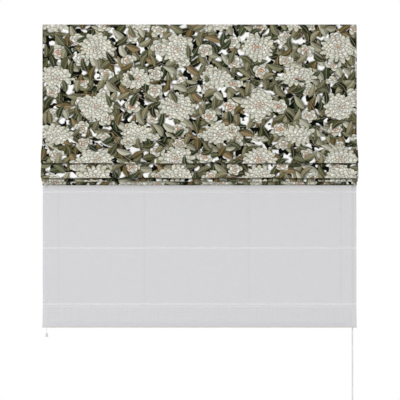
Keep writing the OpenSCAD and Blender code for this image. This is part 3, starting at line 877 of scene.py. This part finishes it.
SHEER_ROWS, SHEER_COLUMNS = 128, 67
SHEER_TAPE_BOTTOM = extent("loop_tape_sheer", Z)[0]
SHEER_SLACK = 2.2
# The hem leans out at its bottom, turns round the bar and goes up again behind it.
HEM_LEAN = 13.0
BAR_TURN = 2.0
HEM_UP = 66.0


def sheer_panel():
    x = np.linspace(-SHEER_HALF, SHEER_HALF, SHEER_COLUMNS)
    wide, z = np.meshgrid(x, np.linspace(SHEER_TOP, HEM_TOP, SHEER_ROWS))
    out = np.zeros_like(wide)
    for top, low in zip([SHEER_TAPE_BOTTOM, *SHEER_RODS], SHEER_RODS):
        out += slack(z, wide, top, low, SHEER_SLACK, uneven=0.35, long=140)
    points = points_of(wide, SHEER_Y - out, z).reshape(-1, 3) * MM
    place = points_of(wide, z, 0).reshape(-1, 3) * MM
    faces = grid_faces(SHEER_ROWS, SHEER_COLUMNS)
    return mesh_object("sheer_panel", points, faces, [voile_panel], place=place)


def sheer_hem():
    """The hem: down its front, round the bar, up its back and to the seam."""
    drop = HEM_TOP - SHEER_BOTTOM
    lean = math.atan2(HEM_LEAN, drop)
    down = np.array([math.sin(lean), -math.cos(lean)])
    back = np.array([-math.cos(lean), -math.sin(lean)])
    start = np.array([0.0, HEM_TOP])
    end = start + down * (drop / math.cos(lean) - BAR_TURN - SHEER_THICK)
    behind = end + back * 2 * BAR_TURN
    top = behind - down * HEM_UP
    seam = start + down * 1.2 + back * 0.4
    turn = math.degrees(lean)
    path = np.concatenate([
        start + (end - start) * np.linspace(0, 1, 12)[:, None],
        arc(end + back * BAR_TURN, BAR_TURN, turn, turn - 180, 8),
        behind - down * np.linspace(8, HEM_UP, 8)[:, None],
        [(top + start) / 2, seam],
    ])
    x = np.linspace(-SHEER_HALF, SHEER_HALF, SHEER_COLUMNS)
    out, z = (np.repeat(part, SHEER_COLUMNS) for part in path.T)
    points = points_of(np.tile(x, len(path)), SHEER_Y - out, z) * MM
    return mesh_object("sheer_hem", points, grid_faces(len(path), SHEER_COLUMNS), [voile_hem])


panel = sheer_panel()
panel_drop = (SHEER_TOP - HEM_TOP) * MM
sheer_kept = 1 - SHEER_RISE / panel_drop
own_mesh(panel)
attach(panel, "rail")
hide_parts("sheer_fabric")
hem = sheer_hem()
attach(hem, "sheer_bar")
for number, height in zip(ROD_NUMBERS, SHEER_RODS):
    pocket = sleeves(f"sheer_pocket_{number}", SHEER_ROD_Y, [height], SHEER_HALF - SLEEVE_IN, voile_sleeve)
    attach(pocket, f"sheer_rod_{number}")


# The cords.

LIFT_CORD_R, LIFT_CORD_RINGS, LIFT_CORD_SIDES = 0.5, 110, 6
KNOT_R, KNOT_BELOW_ROD, KNOT_RINGS, KNOT_SIDES = 1.6, 3.0, 7, 8
PULL_CORD, PULL_SIDES = 1.5, 8
PULL_BOTTOM, PULL_TOP = extent("pull_cord", Z)
# From the pulley's axis to the middle of the cord that runs over it.
PULL_TURN = PULL_TOP - SHAFT_Z - PULL_CORD / 2
# The cord ends in the middle of its knot in the bell.
PULL_KNOT_R = 2.0
PULL_END = PULL_BOTTOM + PULL_KNOT_R


def lift_cords(name, y, last_rod):
    """Four cords from their spools down through the rings, each with a knot under the last ring."""
    end = last_rod - KNOT_BELOW_ROD
    knot, knot_faces = ball(KNOT_R, np.linspace(0, PI, KNOT_RINGS), KNOT_SIDES)
    parts = []
    for x in CORD_X:
        line = points_of(x, y, np.linspace(SHAFT_Z, end, LIFT_CORD_RINGS))
        parts.append(tube(line * MM, LIFT_CORD_R * MM, LIFT_CORD_SIDES))
        parts.append(((knot + (x, y, end)) * MM, knot_faces))
    return mesh_object(name, *joined(parts), [cord_white])


def pull_line():
    """The pull cord's middle line: over the guide pulley and straight down to its knot."""
    turns = np.linspace(PI / 2, 0, 9)
    over = points_of(-CONTROL_X, PULLEY_Y + PULL_TURN * np.cos(turns), SHAFT_Z + PULL_TURN * np.sin(turns))
    down = points_of(-CONTROL_X, PULLEY_Y + PULL_TURN, np.linspace(SHAFT_Z, PULL_END, 160)[1:])
    return np.concatenate([over, down]) * MM


def feed_line():
    """The cord's way from the reel to the guide pulley."""
    return points_of(-CONTROL_X, np.linspace(FRONT_AXIS, PULLEY_Y, 12), SHAFT_Z + PULL_TURN) * MM


def pull_piece(name, line):
    return mesh_object(name, *tube(line, PULL_CORD / 2 * MM, PULL_SIDES), [cord_white])


front_cords = lift_cords("front_cords", FRONT_CORD_Y, FRONT_RODS[-1])
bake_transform(front_cords)
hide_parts("front_lift_cords")
sheer_cords = lift_cords("sheer_cords", SHEER_CORD_Y, SHEER_RODS[-1])
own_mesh(sheer_cords)
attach(sheer_cords, "rail")
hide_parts("sheer_lift_cords")

pull_path = pull_line()
pull = pull_piece("pull_cord_free", pull_path)
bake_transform(pull)
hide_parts("pull_cord")
feed = pull_piece("pull_cord_feed", feed_line())
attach(feed, "rail")


# The chain.

BEAD, PITCH, STRAND_BEADS, POCKETS = 4.5, 6.0, 260, 10
WHEEL_R = round(PITCH * POCKETS / FULL_TURN, 3)
BEAD_RINGS, BEAD_SIDES = 7, 10
STRING_R, STRING_SIDES = 0.7, 6


def round_wheel(z, turns):
    return points_of(CONTROL_X, SHEER_AXIS + WHEEL_R * np.cos(turns), z + WHEEL_R * np.sin(turns))


def chain_line():
    """The beads' places in one loop: down the front, round the bottom, up the back, over the wheel."""
    heights = SHAFT_Z - PITCH * np.arange(1, STRAND_BEADS + 1)
    low = SHAFT_Z - PITCH * (STRAND_BEADS + 1)
    half_turn = np.linspace(PI, FULL_TURN, POCKETS // 2 + 1)
    return np.concatenate([
        points_of(CONTROL_X, SHEER_AXIS - WHEEL_R, heights),
        round_wheel(low, half_turn),
        points_of(CONTROL_X, SHEER_AXIS + WHEEL_R, heights[::-1]),
        round_wheel(SHAFT_Z, half_turn - PI),
    ]) * MM


def bead_chain(line):
    """Beads with a piece of string from each to the next."""
    bead, bead_faces = ball(BEAD / 2 * MM, np.linspace(0, PI, BEAD_RINGS + 2)[1:-1], BEAD_SIDES)
    beads = [(place + bead, bead_faces) for place in line]
    pairs = zip(line, np.roll(line, -1, axis=0))
    strings = [tube(pair, STRING_R * MM, STRING_SIDES) for pair in pairs]
    return mesh_object("bead_chain_loop", *joined(beads + strings), [chain_plastic])


chain_path = chain_line()
loop = bead_chain(chain_path)
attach(loop, "rail")
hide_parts("bead_chain")


# The fittings keep their solids and get their finishes, by how their names start.

FINISHES = [
    (rail_white, ("headrail",)),
    (tape, ("hook_tape", "loop_tape")),
    (zinc, ("bracket", "front_shaft", "sheer_shaft")),
    (dark_plastic, ("latch",)),
    (white_plastic, ("end_cap", "front_spool", "sheer_spool", "front_cradle", "sheer_cradle")),
    (white_plastic, ("chain_sprocket", "chain_housing", "cord_unit", "cord_reel", "guide_pulley")),
    (bell_plastic, ("cord_bell",)),
    (rod_plastic, ("front_rod", "sheer_rod")),
    (bar_white, ("front_bar", "sheer_bar")),
]
for material, starts in FINISHES:
    for name, solid in nodes.items():
        if name.startswith(starts):
            solid.data.materials.clear()
            solid.data.materials.append(material)


# The stage, in metres: a pale floor, soft light, and the camera at the photograph's angle.

FLOOR_X, FLOOR_NEAR, FLOOR_FAR, FLOOR_Z = 2.3, -2.0, 1.8, -2.35
FLOOR_GLOW = 0.2
AIR_LIGHT = 0.5
# The lights point at the middle of the blind.
MIDDLE = (0, 0, -0.6)
EYE = (0.0017, -4.066, -0.7042)


def white_air():
    """A world that is seen as white and lights the blind less strongly."""
    world = bpy.data.worlds.new("soft_room")
    bpy.context.scene.world = world
    world.use_nodes = True
    tree = world.node_tree
    tree.nodes.clear()
    rays = add_node(tree, "ShaderNodeLightPath").outputs
    seen = Number(tree, rays["Is Camera Ray"]).at_least(rays["Is Glossy Ray"])
    seen = seen.at_least(rays["Is Transmission Ray"])
    light = {"Color": WHITE, "Strength": seen * (1 - AIR_LIGHT) + AIR_LIGHT}
    sky = add_node(tree, "ShaderNodeBackground", light)
    add_node(tree, "ShaderNodeOutputWorld", {0: sky.outputs[0]})


def pale_floor():
    made, tree, shader = new_material("floor_pale")
    tone = noise(tree, object_place(tree), 3.0)
    rays = add_node(tree, "ShaderNodeLightPath").outputs
    set_inputs(tree, shader, {
        "Base Color": mix(tree, tone, rgb(236, 236, 235), rgb(243, 243, 242)),
        "Roughness": 0.9,
        "Emission Color": WHITE,
        "Emission Strength": Number(tree, rays["Is Camera Ray"]) * FLOOR_GLOW,
    })
    corners = [(-FLOOR_X, FLOOR_NEAR), (FLOOR_X, FLOOR_NEAR), (FLOOR_X, FLOOR_FAR), (-FLOOR_X, FLOOR_FAR)]
    points = [(x, y, FLOOR_Z) for x, y in corners]
    mesh_object("floor", points, [(0, 1, 2, 3)], [made], smooth=False)


def soft_light(name, place, size, power):
    data = bpy.data.lights.new(name, "AREA")
    data.shape = "SQUARE"
    data.size = size
    data.energy = power
    lamp = bpy.data.objects.new(name, data)
    bpy.context.scene.collection.objects.link(lamp)
    lamp.location = place
    lamp.rotation_euler = (Vector(MIDDLE) - Vector(place)).to_track_quat("-Z", "Y").to_euler()


def eye_level_camera():
    data = bpy.data.cameras.new("eye")
    data.sensor_width = 36.0
    data.sensor_fit = "HORIZONTAL"
    data.lens = 87.0
    data.clip_end = 60.0
    camera = bpy.data.objects.new("eye", data)
    bpy.context.scene.collection.objects.link(camera)
    camera.location = EYE
    camera.rotation_euler = (PI / 2, 0, 0)
    bpy.context.scene.camera = camera


white_air()
pale_floor()
soft_light("key_light", (-1.9, -4.2, 0.5), size=2.2, power=96.0)
soft_light("fill_light", (2.2, -4.0, -0.9), size=2.4, power=36.0)
soft_light("back_light", (1.6, 3.2, 0.6), size=2.4, power=90.0)
eye_level_camera()
bpy.context.scene.view_settings.view_transform = "Standard"
